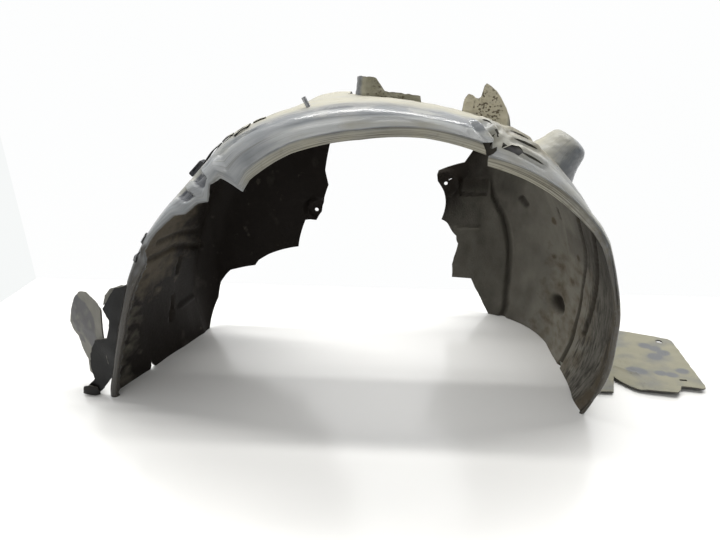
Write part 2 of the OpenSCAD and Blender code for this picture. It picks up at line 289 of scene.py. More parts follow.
def near_line(a, y, path, half):
    """1 on a line drawn through angles and depths, falling smoothly to 0 at half its width."""
    p = np.stack([np.asarray(a) * DEGREE, y], -1)
    line = np.array(path, float) * (DEGREE, 1)
    best = np.full(len(p), 1e9)
    for start, end in zip(line[:-1], line[1:]):
        way = end - start
        t = np.clip((p - start) @ way / (way @ way), 0, 1)
        best = np.minimum(best, np.linalg.norm(p - start - t[:, None] * way, axis=1))
    return ease(1 - best / half)


def near_spot(a, y, at, size):
    """1 in the middle of an oval at an angle and depth, 0 outside its half sizes in millimetres."""
    d = np.hypot((a - at[0]) * DEGREE / size[0], (y - at[1]) / size[1])
    return ease(1 - d)


def resample(corners, step, rough=0, seed=1, closed=True):
    """Points at even steps along an outline, shifted a little sideways where it is rough."""
    corners = np.array(corners, float)
    ends = np.roll(corners, -1, axis=0) if closed else corners[1:]
    out = []
    for start, end in zip(corners, ends):
        count = max(1, int(round(np.linalg.norm(end - start) / step)))
        out.extend(start + (end - start) * i / count for i in range(count))
    if not closed:
        out.append(corners[-1])
    out = np.array(out)
    if rough:
        out = out + rough * np.stack([ripple(out, 9, seed), ripple(out, 7, seed + 1)], -1)
    return out


def inside(points, loop):
    """Whether each point lies inside a closed loop."""
    result = np.zeros(len(points), bool)
    x, y = points.T
    for (x0, y0), (x1, y1) in zip(loop, np.roll(loop, -1, axis=0)):
        if y0 != y1:
            crosses = (y0 > y) != (y1 > y)
            result ^= crosses & (x < x0 + (x1 - x0) * (y - y0) / (y1 - y0))
    return result


def lattice(loop, step):
    """Even triangular pattern of points over a loop."""
    low = loop.min(axis=0)
    high = loop.max(axis=0)
    rows = np.arange(low[1], high[1], step * 0.866)
    columns = np.arange(low[0], high[0], step)
    grid = np.stack(np.meshgrid(columns, rows), -1)
    grid[1::2, :, 0] += step / 2
    return grid.reshape(-1, 2)


def fill(loop, holes, points, gap):
    """Triangles that fill a loop around its holes, through the given points."""
    edges = np.concatenate([loop, *holes])
    tree = KDTree(len(edges))
    for i, p in enumerate(edges):
        tree.insert((p[0], p[1], 0), i)
    tree.balance()
    points = points[inside(points, loop)]
    for hole in holes:
        points = points[~inside(points, hole)]
    clear = [tree.find((p[0], p[1], 0))[2] > gap for p in points]
    corners = np.concatenate([edges, points[clear]])
    links = []
    first = 0
    for ring in (loop, *holes):
        count = len(ring)
        links.extend((first + i, first + (i + 1) % count) for i in range(count))
        first += count
    flat, _links, faces, _a, _b, _c = delaunay_2d_cdt(corners.tolist(), links, [], 0, 1e-5)
    flat = np.array([tuple(p) for p in flat])
    faces = np.array([f for f in faces if len(f) == 3])
    middle = flat[faces].mean(axis=1)
    keep = inside(middle, loop)
    for hole in holes:
        keep &= ~inside(middle, hole)
    faces = faces[keep]
    used, faces = np.unique(faces, return_inverse=True)
    return flat[used], faces.reshape(-1, 3)


def unit(vectors):
    """Vectors scaled to length 1."""
    return vectors / np.maximum(np.linalg.norm(vectors, axis=1, keepdims=True), 1e-9)


def face_out(place, q, step=0.4):
    """Outward directions of a surface, from its slopes."""
    along = place(q + (step, 0)) - place(q - (step, 0))
    across = place(q + (0, step)) - place(q - (0, step))
    return unit(np.cross(along, across))


def anticlockwise(loop):
    """A closed loop, turned round where it runs clockwise."""
    area = np.sum(np.cross(loop, np.roll(loop, -1, axis=0)))
    return loop if area > 0 else loop[::-1]


def everywhere(q):
    """Takes in every point of a flat pattern."""
    return np.ones(len(q), bool)


def open_edges(faces, count):
    """Edges that only one triangle has."""
    half = np.concatenate([faces[:, [0, 1]], faces[:, [1, 2]], faces[:, [2, 0]]])
    code = half[:, 0].astype(np.int64) * count + half[:, 1]
    back = half[:, 1].astype(np.int64) * count + half[:, 0]
    return half[~np.isin(code, back)].tolist()


def paint(mesh, marks, flat):
    """Stores the painted marks, and the flat pattern along which streaks of noise are drawn."""
    for key, values in marks.items():
        layer = mesh.attributes.new(key, "FLOAT", "POINT")
        layer.data.foreach_set("value", np.concatenate([values, values]).astype(np.float32))
    outer = np.concatenate([flat, np.zeros((len(flat), 1))], 1)
    both = np.concatenate([outer, outer + (0, 0, INNER_NOISE)])
    layer = mesh.attributes.new("pattern", "FLOAT_VECTOR", "POINT")
    layer.data.foreach_set("vector", both.astype(np.float32).ravel())


def add_solid(name, outer, inner, faces, materials, flat, marks):
    """One closed piece from its outer and inner points, with a rim round every open edge."""
    count = len(outer)
    rim = [(b, a, a + count, b + count) for a, b in open_edges(faces, count)]
    shell = faces.tolist() + (faces[:, ::-1] + count).tolist() + rim
    points = np.concatenate([outer, inner])
    points[:, 2] = points[:, 2].clip(0)
    mesh = bpy.data.meshes.new(name)
    mesh.from_pydata(to_frame(points).tolist(), [], shell)
    for material in materials:
        mesh.materials.append(material)
    mesh.polygons.foreach_set("material_index", [0] * len(faces) + [1] * len(faces) + [2] * len(rim))
    mesh.polygons.foreach_set("use_smooth", [True] * len(shell))
    paint(mesh, marks, flat)
    mesh.set_sharp_from_angle(angle=SHARP_FROM)
    mesh.update()
    piece = bpy.data.objects.new(name, mesh)
    bpy.context.collection.objects.link(piece)
    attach(piece, "root")
    return piece


def add_plate(name, loop, place, materials, holes=(), steps=((3, everywhere),), thick=WALL_T,
              press=None, skin=None, marks=None):
    """A moulded plate: a flat pattern filled with triangles, laid on a surface and pressed."""
    points = np.concatenate([grid[test(grid)] for step, test in steps for grid in [lattice(loop, step)]])
    q, faces = fill(loop, list(holes), points, 0.55 * steps[0][0])
    base = place(q)
    out = face_out(place, q)
    lift = press(q)[:, None] * out if press else 0
    detail = skin(q)[:, None] * out if skin else 0
    values = {key: make(q) for key, make in (marks or {}).items()}
    inner = base + lift - thick * out
    return add_solid(name, base + lift + detail, inner, faces, materials, q, values)


def grid_faces(rows, columns, wrap=False):
    """Triangles of a grid of points, closed round its rows where it wraps."""
    faces = []
    for i in range(rows - (0 if wrap else 1)):
        for j in range(columns - 1):
            a = i * columns + j
            b = (i + 1) % rows * columns + j
            faces += [(a, b, b + 1), (a, b + 1, a + 1)]
    return np.array(faces)


# Materials
def linear(colour):
    """A hex colour as linear red, green, blue and alpha."""
    parts = [int(colour[i:i + 2], 16) / 255 for i in (1, 3, 5)]
    return [p / 12.92 if p <= 0.04045 else ((p + 0.055) / 1.055) ** 2.4 for p in parts] + [1]


def node(tree, kind, inputs=None, output=0, **settings):
    """Adds a shader node and gives one of its outputs. An input is a value or another node's output."""
    made = tree.nodes.new("ShaderNode" + kind)
    for key, value in settings.items():
        setattr(made, key, value)
    for key, value in (inputs or {}).items():
        if isinstance(value, bpy.types.NodeSocket):
            tree.links.new(value, made.inputs[key])
        else:
            made.inputs[key].default_value = value
    return made.outputs[output]


def grain(tree, size, stretch=(1, 1, 1), detail=4, seed=0):
    """Noise with grains of a size in millimetres, longer along an axis where it is stretched."""
    place = node(tree, "TexCoord", output="Object")
    scale = [1 / (s * MM) for s in stretch]
    spread = node(tree, "Mapping", {"Vector": place, "Scale": scale, "Location": (seed, seed, seed)})
    return node(tree, "TexNoise", {"Vector": spread, "Scale": 1 / size, "Detail": detail})


def streaks(tree, size, along, detail=3, seed=0):
    """Noise in lines of a size in millimetres that run along the arch, this many times longer than wide."""
    place = node(tree, "Attribute", output="Vector", attribute_name="pattern")
    scale = (1 / along, 1, 1)
    spread = node(tree, "Mapping", {"Vector": place, "Scale": scale, "Location": (seed, seed, seed)})
    return node(tree, "TexNoise", {"Vector": spread, "Scale": 1 / size, "Detail": detail})


def cover(tree, mark, noise, spread=1.0, soft=0.25):
    """How far a layer covers the one below: the amount painted as a mark, broken up by noise."""
    painted = node(tree, "Attribute", output="Fac", attribute_name=mark)
    uneven = node(tree, "Math", {0: noise, 1: -0.5}, operation="ADD")
    total = node(tree, "Math", {0: uneven, 1: spread, 2: painted}, operation="MULTIPLY_ADD")
    limits = {"Value": total, "From Min": 0.5 - soft, "From Max": 0.5 + soft}
    return node(tree, "MapRange", limits, clamp=True)


def lay(tree, amount, below, above):
    """Colour above laid over colour below. The amount is a factor, or the name of a painted mark."""
    if isinstance(amount, str):
        amount = node(tree, "Attribute", output="Fac", attribute_name=amount)
    colours = [linear(c) if isinstance(c, str) else c for c in (below, above)]
    return node(tree, "Mix", {0: amount, 6: colours[0], 7: colours[1]}, output=2, data_type="RGBA")


def material(name, build):
    """New material; build sets its surface from a node tree and its shader."""
    made = bpy.data.materials.new(name)
    made.use_nodes = True
    build(made.node_tree, made.node_tree.nodes["Principled BSDF"])
    return made


def finish_surface(tree, shader, colour, rough, height, bump_mm, level=0.5):
    """Sets colour, roughness and a fine relief of a depth in millimetres.

    The roughness is a factor with the values that it stands for at 0 and at 1.
    """
    factor, smooth, dull = rough
    spread = node(tree, "MapRange", {"Value": factor, "To Min": smooth, "To Max": dull})
    bump = node(tree, "Bump", {"Height": height, "Distance": bump_mm * MM, "Strength": 1.0})
    tree.links.new(colour, shader.inputs["Base Color"])
    tree.links.new(spread, shader.inputs["Roughness"])
    tree.links.new(bump, shader.inputs["Normal"])
    shader.inputs["Specular IOR Level"].default_value = level


def outer_plastic(tree, shader):
    """Black polypropylene, moulded, then polished by hands and weather: blue-grey, glossy and scuffed.

    Pale road dust lies thick on the crest and thins down the band, broken up into streaks.
    """
    fine = grain(tree, 2.5)
    cloud = grain(tree, 30, (1.5, 1, 1), 6)
    speck = grain(tree, 9, (1, 1, 1), 5, 3)
    lines = streaks(tree, 3, 14, 4)
    patch = streaks(tree, 16, 4, 5, 3)
    rolled = streaks(tree, 1.2, 70, 2, 8)
    haze = cover(tree, "haze", node(tree, "Mix", {0: 0.25, 2: patch, 3: lines}), 1.2, 0.4)
    dust = cover(tree, "dust", node(tree, "Mix", {0: 0.3, 2: cloud, 3: lines}), 1.6, 0.35)
    # Pale grey where the plastic is scuffed, with a painted highlight along the band just above the groove.
    colour = lay(tree, haze, "#6e7276", "#b6b8b8")
    colour = lay(tree, dust, colour, "#a09d8e")
    colour = lay(tree, cover(tree, "soil", speck, 1.2, 0.25), colour, "#6f6959")
    colour = lay(tree, cover(tree, "rolled", rolled, 2.0, 0.3), colour, "#565145")
    # Dark plastic where there is no dust, with painted shade in the recesses and a painted dark reflection
    # on the band.
    colour = lay(tree, cover(tree, "bare", patch, 0.9, 0.2), colour, "#33363d")
    colour = lay(tree, "mud", colour, "#2c271f")
    height = node(tree, "Math", {0: lines, 1: 0.8, 2: fine}, operation="MULTIPLY_ADD")
    finish_surface(tree, shader, colour, (dust, 0.18, 0.7), height, 0.15, 0.6)


def inner_plastic(tree, shader):
    """The same plastic on the wheel side, sprayed for years: dark mud in front, dry grey dust behind."""
    fine = grain(tree, 3, (1, 1, 1), 6)
    cloud = grain(tree, 40, (1, 1, 1.6), 6, 5)
    blot = grain(tree, 14, (1, 2.2, 1.3), 6, 2)
    runs = streaks(tree, 4, 5, 5, 2)
    # Pale dry dust behind, kept off near the lip of the rear leg as painted shade.
    colour = lay(tree, cover(tree, "dry", cloud, 1.0, 0.5), "#191410", "#726f66")
    colour = lay(tree, cover(tree, "pale", blot, 1.0, 0.35), colour, "#807c70")
    colour = lay(tree, cover(tree, "wet", blot, 1.3, 0.22), colour, "#4c4437")
    colour = lay(tree, cover(tree, "run", runs, 1.6, 0.2), colour, "#322e28")
    # Painted shade, with some old dirt, in the ribs, the dent and the recesses.
    colour = lay(tree, "hollow", colour, "#26211b")
    height = node(tree, "Math", {0: cloud, 1: 2.0, 2: fine}, operation="MULTIPLY_ADD")
    finish_surface(tree, shader, colour, (fine, 0.5, 0.8), height, 0.6, 0.16)


def torn_plastic(tree, shader):
    """Torn edges of the polypropylene: the black of the bare plastic, rubbed pale and dusty."""
    fine = grain(tree, 4, (1, 1, 1), 4, 7)
    colour = lay(tree, fine, "#232220", "#5d5a4f")
    colour = lay(tree, "mud", colour, "#231f19")
    finish_surface(tree, shader, colour, (fine, 0.5, 0.8), fine, 0.3)


def dried_mud(tree, shader):
    """Beige mud dried on the plastic, with dark pits, rubbed through to grey where it was wiped."""
    fine = grain(tree, 2.2, (1, 1, 1), 6, 4)
    cloud = grain(tree, 26, (1, 1, 1), 6, 9)
    pits = grain(tree, 3.6, (1, 1, 1), 6, 6)
    wiped = cover(tree, "haze", cloud, 1.0, 0.3)
    pit = cover(tree, "soil", pits, 2.2, 0.12)
    colour = lay(tree, cloud, "#d3cdb7", "#b9b29e")
    colour = lay(tree, "thin", colour, "#7b7a6a")
    colour = lay(tree, wiped, colour, "#636567")
    colour = lay(tree, pit, colour, "#6b6250")
    height = node(tree, "Math", {0: pit, 1: -1.5, 2: fine}, operation="MULTIPLY_ADD")
    finish_surface(tree, shader, colour, (wiped, 0.85, 0.5), height, 0.6)


def bare_plastic(tree, shader):
    """Black polypropylene of the flange, moulded satin, with a thin brown film."""
    fine = grain(tree, 3, (1, 1, 1), 5, 1)
    cloud = grain(tree, 22, (1, 1, 1), 5, 8)
    film = cover(tree, "dust", cloud, 1.2, 0.35)
    colour = lay(tree, film, "#0b0b0c", "#1e1b18")
    finish_surface(tree, shader, colour, (film, 0.42, 0.7), fine, 0.3, 0.3)


def filmed_plastic(tree, shader):
    """Polypropylene of the ear under a dried grey-beige film, darker where it was rubbed."""
    fine = grain(tree, 3, (1, 1, 1), 5, 1)
    cloud = grain(tree, 18, (1, 1, 1), 6, 12)
    patch = cover(tree, "haze", cloud, 1.5, 0.25)
    colour = lay(tree, cloud, "#86847b", "#605e58")
    colour = lay(tree, patch, colour, "#434243")
    finish_surface(tree, shader, colour, (patch, 0.7, 0.5), fine, 0.3)


def clip_nylon(tree, shader):
    """Black moulded nylon of the clip, satin and hardly dusty."""
    fine = grain(tree, 2, (1, 1, 1), 4, 2)
    colour = lay(tree, fine, "#0f1014", "#22232a")
    finish_surface(tree, shader, colour, (fine, 0.35, 0.5), fine, 0.15)


def drawn_aluminium(tree, shader):
    """Drawn aluminium of the rivet, gone dull and grey."""
    fine = grain(tree, 1.5, (1, 1, 3), 4, 2)
    colour = lay(tree, fine, "#77787a", "#b5b6b8")
    shader.inputs["Metallic"].default_value = 0.85
    finish_surface(tree, shader, colour, (fine, 0.3, 0.5), fine, 0.08)


OUTER = material("polypropylene_outside", outer_plastic)
INNER = material("polypropylene_wheel_side", inner_plastic)
TORN = material("torn_polypropylene", torn_plastic)
MUD = material("dried_mud", dried_mud)
BARE = material("bare_polypropylene", bare_plastic)
EAR = material("filmed_polypropylene", filmed_plastic)
CLIP = material("moulded_nylon", clip_nylon)
METAL = material("drawn_aluminium", drawn_aluminium)


# The sheet
RIB_HEIGHT = 4
RIBS = [
    ([(139, 60), (150, 67.5), (158, 80), (170, 99), (176, 106)], 8, 5.0),
    ([(138, 110), (147, 116), (154, 121), (165, 143), (176, 142), (184.5, 139), (191, 138)], 8, 5.0),
    ([(143.4, 309), (146, 301)], 6, 4.0),
    ([(146.2, 212), (148.6, 213)], 6, 4.0),
    ([(19.8, 160), (15.6, 152)], 6, 4.0),
    ([(25.2, 50), (24.8, 90), (24.5, 130), (22.5, 180), (19.9, 232)], 8, 4.0),
    ([(29.5, 60), (29, 100), (28, 150), (26.5, 200)], 7, 3.0),
    ([(8.5, 145), (1.7, 139)], 6, 4.0),
    ([(3.9, 166), (3.9, 205)], 8, -4.0),
]
CORNER_RIB = [[132, 0], [138, 1], [194, 1]]
CORNER_RIB_V = [[125, 418], [138, 404], [142, 393], [148, 382], [166, 381], [180, 375], [190, 366]]
DENT = (177.0, 226)
SHOULDER_GROOVE = [(67, 20), (64.1, 20), (60.9, 17.5), (57.3, 17.2), (53.9, 15.6), (49.8, 26.5), (45.2, 21)]
RECESSES = [(51.2, 7.5), (46.4, 7), (30.5, 4)]
STAINS = [(151, 248), (145.5, 120), (163, 261), (157.5, 159)]
FRONT_TAB = (-113, 247)
REAR_TAB = (129, 278)
TAB_BORE = 7


corner_rib = curve(CORNER_RIB_V)


def press_wall(a, v, y):
    """Ribs and dent of the wall, and the rear foot that curls in towards the wheel near the lip."""
    wall = ramp(v, V_WALL - 10, V_WALL + 10) * (v < V_PANEL)
    lift = np.zeros(len(a))
    for path, half, height in RIBS:
        lift += wall * height * ease(1.5 * near_line(a, y, path, half))
    lift += 1.5 * RIB_HEIGHT * torn(CORNER_RIB)(a) * ease(1.4 - 1.4 * np.abs(v - corner_rib(a)) / 7)
    dent = np.hypot((a - DENT[0]) * DEGREE / 22, (y - DENT[1]) / 32)
    lift += wall * 14 * ease(1.7 * (1 - dent))
    return lift - 9 * ramp(a, 178, 193) * np.exp(-((y - 25) / 35) ** 2) * (v < V_CORNER)


def press_panels(v, point):
    """Raised rims round the screw holes, a box recess and a ledge on the panels."""
    x, _y, z = point.T
    lift = np.zeros(len(v))
    for (tab_x, tab_z), span in ((FRONT_TAB, 17), (REAR_TAB, 24)):
        lift -= 5 * ease(1 - np.abs(np.hypot(x - tab_x, z - tab_z) - span) / 7)
    lift += 7 * hill(x, 155, 160, 208, 214) * hill(z, 254, 259, 286, 291)
    lift -= 3 * hill(x, 150, 157, 199, 205) * ease(1 - np.abs(z - 189) / 6)
    return lift * ramp(v, V_PANEL - 30, V_PANEL)


def press_band(a, v):
    """Stretched folds beside the tear, recesses in the front shoulder, and edges bent at the slits."""
    tear = hill(a, 106, 109.5, 112, 115) * hill(v, 14, 24, 50, 66)
    lift = 3.6 * tear * np.sin((a * DEGREE + 0.9 * v) / 5.2 * 1.6)
    t = (v - V_BAND) / (V_WALL - V_BAND)
    turn = a + 3 * (t - 0.5)
    for at, deep in RECESSES:
        lift -= deep * hill(turn, at - 1.9, at - 0.3, at + 0.8, at + 1.6) * hill(t, 0.06, 0.25, 0.75, 1.0)
    for path in SLITS:
        path = np.array([band(*p) for p in path])
        lift += 3.2 * near_line(a, v, path + (0, 6), 9) - 2.2 * near_line(a, v, path - (0, 5), 7)
    return lift


def press_sheet(q):
    """What shows on both sides of the sheet, with the uneven set of old plastic."""
    a = q[:, 0] / DEGREE
    v = q[:, 1]
    radius, y = section(a, v)
    point = polar(a, radius, y)
    set_wide = 1.1 * ripple(point, 90, 3) * ramp(v, 20, 110)
    set_close = 0.45 * ripple(point, 30, 5) * ramp(v, 30, 80)
    return press_wall(a, v, y) + press_panels(v, point) + press_band(a, v) + set_wide + set_close


def skin_sheet(q):
    """Outside only: the groove over the lip strip, the shoulder groove and a shallow recess."""
    a = q[:, 0] / DEGREE
    v = q[:, 1]
    radius, y = section(a, v)
    on_lip = ramp(a, 57, 60) * ramp(a, 165, 158)
    lift = -1.5 * on_lip * ease(1 - np.abs(v - 13.3) / 2.6)
    lift -= 1.6 * near_line(a, y, SHOULDER_GROOVE, 3.4) * (v < V_WALL + 30)
    upper = 19.5 + 11 * ease(1 - np.abs(a - 93) / 13)
    lift -= 1.2 * hill(a, 80, 84, 103, 107) * hill(v, 14.5, 17, upper - 1, upper + 1.2)
    return lift


def sheet_scuffs_and_highlight(q):
    """Scuffed grey, bright under the crest, with a painted highlight just above the groove and dark plastic
    between.
    """
    a = q[:, 0] / DEGREE
    v = q[:, 1]
    crown = hill(a, 50, 60, 150, 165)
    # Painted highlight: a bright streak along the band just above the groove.
    low = 1.05 * hill(v, 13, 16, 28, 40) * hill(a, 58, 76, 108, 118)
    middle = 0.3 * hill(v, 25, 33, 70, 90) * crown
    shoulder = 0.4 * hill(a, 20, 34, 60, 66)
    right = 0.75 * hill(a, 108, 116, 150, 166) * hill(v, 10, 18, 40, 56)
    return np.maximum.reduce([low, middle, shoulder, right, 0.22 + 0 * a])


def sheet_dust(q):
    """Pale dust: thick on the crest and the strip, thin on the lower band and down the legs."""
    a = q[:, 0] / DEGREE
    v = q[:, 1]
    crest = hill(v, 44, 70, 300, 420) * (0.4 + 0.42 * hill(a, 50, 72, 150, 168))
    strip = (0.72 + 0.2 * hill(a, 104, 113, 130, 145)) * ramp(v, 13, 11)
    strip = strip * ramp(a, 56, 62) * ramp(a, 150, 124)
    almond = 0.42 * hill(a, 80, 86, 101, 107) * hill(v, 14, 17, 24, 30)
    left = 0.2 * hill(a, 20, 35, 52, 62) * ramp(v, 25, 50)
    tear = 0.5 * hill(a, 108, 112, 122, 127) * hill(v, 22, 30, 80, 90)
    right = 0.36 * hill(a, 112, 120, 150, 165) * hill(v, 12, 16, 60, 80)
    least = 0.05 + 0.1 * ramp(v, 35, 50)
    return np.clip(np.maximum.reduce([crest, strip, almond, left, tear, right, least]), 0, 1)


def sheet_soil(q):
    """Brown soil in the tear, under the crest at the cone, and in streaks down the rear leg."""
    a = q[:, 0] / DEGREE
    v = q[:, 1]
    _radius, y = section(a, v)
    tear = 0.55 * hill(a, 108, 114, 124, 136) * hill(v, 40, 60, 100, 130)
    lip = (0.14 + 0.4 * ramp(a, 124, 145)) * ramp(v, 14, 10)
    runs = 0.42 * hill(a, 150, 164, 196, 200) * hill(y, 50, 90, 250, 320)
    stains = 0.9 * np.maximum.reduce([near_spot(a, y, at, (12, 14)) for at in STAINS])
    edge = 0.7 * hill(a, 150, 160, 196, 200) * ramp(y, 45, 20)
    return np.clip(np.maximum.reduce([tear, lip, runs, stains, edge]), 0, 1)


def sheet_wet(q):
    """Wheel side: the soil, and brown mud at the front leg that is thickest near the lip."""
    a = q[:, 0] / DEGREE
    v = q[:, 1]
    _radius, y = section(a, v)
    return np.maximum(sheet_soil(q), 0.82 * hill(a, 6, 24, 52, 66) * ramp(y, 260, 60) * (v > V_BAND))


def sheet_run(q):
    """Wheel side: dirt that ran down the rear leg near the lip."""
    a = q[:, 0] / DEGREE
    _radius, y = section(a, q[:, 1])
    return 0.44 * hill(a, 138, 152, 196, 200) * hill(y, 5, 30, 105, 140)


def sheet_dry_dust_and_shade(q):
    """Wheel side: wet brown mud at the front leg turns to dry grey dust at the rear leg."""
    a = q[:, 0] / DEGREE
    _radius, y = section(a, q[:, 1])
    front = 0.1 * ramp(a, 80, 55) * ramp(y, 200, 80)
    rear = ramp(a, 112, 150) * (1 - 0.28 * ramp(y, 230, 345))
    # Painted shade: less pale dust near the lip of the rear leg, under the band, so it shows darker there.
    shade = 0.65 * ramp(a, 168, 146) * ramp(y, 170, 80) + 0.25 * ramp(a, 150, 160) * ramp(y, 110, 60)
    return np.clip(front - 0.12 + 1.04 * rear - shade, -0.2, 1)


def sheet_pale(q):
    """Wheel side: pale rub marks along the bead of the front leg and on the rear leg."""
    a = q[:, 0] / DEGREE
    _radius, y = section(a, q[:, 1])
    bead = 0.3 * hill(y, 8, 24, 34, 75) * ramp(a, 55, 25)
    rear = 0.42 * ramp(a, 150, 166) * hill(y, 60, 110, 230, 290)
    return np.clip(np.maximum(bead, rear), 0, 1)


def sheet_mud(q):
    """Dark brown mud that covers the whole lip of the front leg."""
    a = q[:, 0] / DEGREE
    ragged = a + 3 * ripple(q, 25, 8) + 3 * ripple(q, 80, 9)
    front = ramp(ragged, 33, 25) * (1 - 0.4 * ramp(q[:, 1], 60, 160))
    front = np.maximum(front, 0.5 * ramp(a, 57, 54) * ramp(q[:, 1], 14, 9))
    wide = 34 * ramp(a, 140, 158)
    rear = 0.75 * ramp(a + 4 * ripple(q, 30, 9), 138, 150) * ramp(q[:, 1] - wide, 18, 12)
    return np.maximum(front, rear)


def sheet_rolled(q):
    """Fine dark lines along the rolled strip of the lip, and along the groove above it."""
    return 0.36 * ramp(q[:, 1], 15, 13) * ramp(q[:, 0] / DEGREE, 56, 60)


def sheet_bare_and_shade(q):
    """Painted shade in the recesses, a painted dark reflection on the band, and dust-free patches on it and
    the left shoulder.
    """
    a = q[:, 0] / DEGREE
    t = (q[:, 1] - V_BAND) / (V_WALL - V_BAND)
    turn = a + 3 * (t - 0.5)
    # Painted shade in the recesses of the front shoulder.
    pits = [1.2 * hill(turn, at - 1.8, at - 0.6, at + 0.5, at + 1.5) * hill(t, 0.1, 0.26, 0.74, 0.94)
            for at, _deep in RECESSES]
    shoulder = 0.42 * hill(a, 22, 28, 50, 58) * hill(t, 0.1, 0.25, 0.45, 0.6)
    # Painted dark reflection along the upper band.
    crown = 0.36 * hill(a, 62, 70, 100, 112) * hill(t, 0.5, 0.62, 0.75, 0.9)
    right = 0.4 * hill(a, 118, 126, 150, 160) * hill(t, 0.3, 0.45, 0.7, 0.9)
    return np.maximum.reduce(pits + [shoulder, crown, right])


def sheet_hollow(q):
    """Wheel side: painted shade, with some old dirt, in the ribs, the dent, the panel recesses and a patch
    on the rear leg.
    """
    a = q[:, 0] / DEGREE
    _radius, y = section(a, q[:, 1])
    raised = [(path, half) for path, half, height in RIBS if height > 0]
    ribs = [ease(1.2 * near_line(a, y - 2, path, half + 1)) for path, half in raised]
    corner = 0.55 * ease(1.2 - 1.2 * np.abs(q[:, 1] - 3 - corner_rib(a)) / 7) * torn(CORNER_RIB)(a)
    dent = 1.2 * ease(1.6 * (1 - np.hypot((a - DENT[0] + 0.3) * DEGREE / 23, (y - 4 - DENT[1]) / 31)))
    patch = 0.35 * hill(a, 149, 152, 157, 160) * hill(y, 110, 125, 195, 205)
    point = on_sheet(q)
    panel = ramp(q[:, 1], V_PANEL - 30, V_PANEL)
    box = 0.6 * panel * hill(point[:, 0], 155, 160, 208, 214) * hill(point[:, 2], 262, 270, 286, 291)
    away = np.hypot(point[:, 0] - REAR_TAB[0], point[:, 2] - REAR_TAB[1])
    ring = 0.7 * panel * hill(away, 6, 10, 17, 22) * (point[:, 0] > 0)
    nook = 0.65 * hill(a, 111, 116, 121, 127) * ramp(q[:, 1], V_CORNER - 20, V_CORNER + 50)
    ribs = 0.72 * np.maximum.reduce(ribs)
    return np.clip(np.maximum.reduce([ribs, corner, dent, patch, box, ring, nook]), 0, 1)


SHEET_MARKS = {
    "haze": sheet_scuffs_and_highlight, "dust": sheet_dust, "soil": sheet_soil, "dry": sheet_dry_dust_and_shade, "pale": sheet_pale,
    "mud": sheet_mud, "hollow": sheet_hollow, "rolled": sheet_rolled, "bare": sheet_bare_and_shade,
    "wet": sheet_wet, "run": sheet_run,
}


def pattern(points):
    """Points given as an angle and a distance round the section, on the flat pattern."""
    return np.array(points, float) * (DEGREE, 1)


# The tear through the lip and the lower band, as angles and distances round the section.
LIP_TEAR = [(112.7, 0), (112.1, 5.7), (110.9, 13), (112.3, 19.2), (113.9, 28.7), (114.2, 24), (113.9, 19),
            (113.2, 13.5), (113.6, 6), (114.1, 0)]
# A slit torn up into the front foot: its depth, width and height.
FOOT_SLIT = (90, 4, 13)
OUTLINE_STEP = 2.4 / DEGREE
# The edge of the lip is ragged up to this angle.
RAGGED_TO = 57
# Angle inside the collar's opening, between the front panel's edge and the rear one's.
MID_ROOF = 100


def foot_edge(rear):
    """Edge of a foot along the ground, from the lip to the torn edge of its panel."""
    v = np.arange(0, V_PANEL + 120, 2.5)
    a = foot_angle(v, rear)
    end = np.argmax(v >= panel_v(a, edge_line(a)))
    return np.stack([a, v], -1)[:end]


def front_foot():
    """Edge of the front foot, with the slit torn up into it."""
    edge = foot_edge(False)
    depth, wide, high = FOOT_SLIT
    start = edge[0, 0]
    at = wall_v(start, depth)
    near = [p for p in edge if p[1] < at - wide]
    far = [p for p in edge if p[1] > at + wide]
    cut = [(start + 0.4, at - wide / 2), (start + high / DEGREE, at - 1), (start + 0.4, at + wide / 2)]
    return np.concatenate([near, cut, far])


def lip_edge(start, end):
    """Edge of the lip between two angles, ragged on the front leg."""
    a = np.arange(start, end, OUTLINE_STEP)
    waves = [0.9 * math.sin(b * 2.3) + 0.7 * math.sin(b * 5.1 + 1) + 1.2 if b < RAGGED_TO else 0 for b in a]
    return np.stack([a, waves], -1)


def panel_edge(low, high):
    """Torn edge of a panel between two angles, from the rear forwards."""
    a = np.array([row[0] for row in EDGE if low < row[0] < high][::-1], float)
    return np.stack([a, panel_v(a, edge_line(a))], -1)


def collar_opening():
    """Edge of the opening that the strut tower passes through, from the rear forwards."""
    span, roof = COLLAR_SPAN, ROOF_SPAN
    corners = [(roof[1], ROOF_Y), (span[1], ROOF_Y), (span[1], COLLAR_Y), (102, COLLAR_Y),
               (span[0], COLLAR_Y), (span[0], ROOF_Y), (roof[0], ROOF_Y)]
    return [(a, wall_v(a, y)) for a, y in corners]


def sheet_outline():
    """Outline of the whole flat pattern, with its torn and broken edges."""
    front = front_foot()
    rear = foot_edge(True)
    tab = np.array([115.0, 117, 119, 122])
    corners = np.concatenate([
        lip_edge(front[0, 0] + OUTLINE_STEP, 112.5),
        LIP_TEAR,
        lip_edge(114.4, rear[0, 0] - OUTLINE_STEP / 2),
        rear[1:],
        panel_edge(MID_ROOF, rear[-1, 0] - 0.5),
        np.stack([tab, panel_v(tab, torn(TAB_TOP)(tab))], -1),
        collar_opening(),
        panel_edge(front[-1, 0] + 0.5, MID_ROOF),
        front[::-1],
    ])
    return resample(corners * (DEGREE, 1), 2.6)


def slit(path, half):
    """Narrow torn slit along a path, pointed at both ends."""
    path = resample(pattern(path), 2.5, closed=False)
    way = np.gradient(path, axis=0)
    side = np.stack([-way[:, 1], way[:, 0]], -1) / np.linalg.norm(way, axis=1, keepdims=True)
    width = half * np.sin(np.linspace(0, math.pi, len(path)))[:, None] ** 0.6
    upper = path + side * width
    lower = path - side * width
    return np.concatenate([lower, upper[-2:0:-1]])


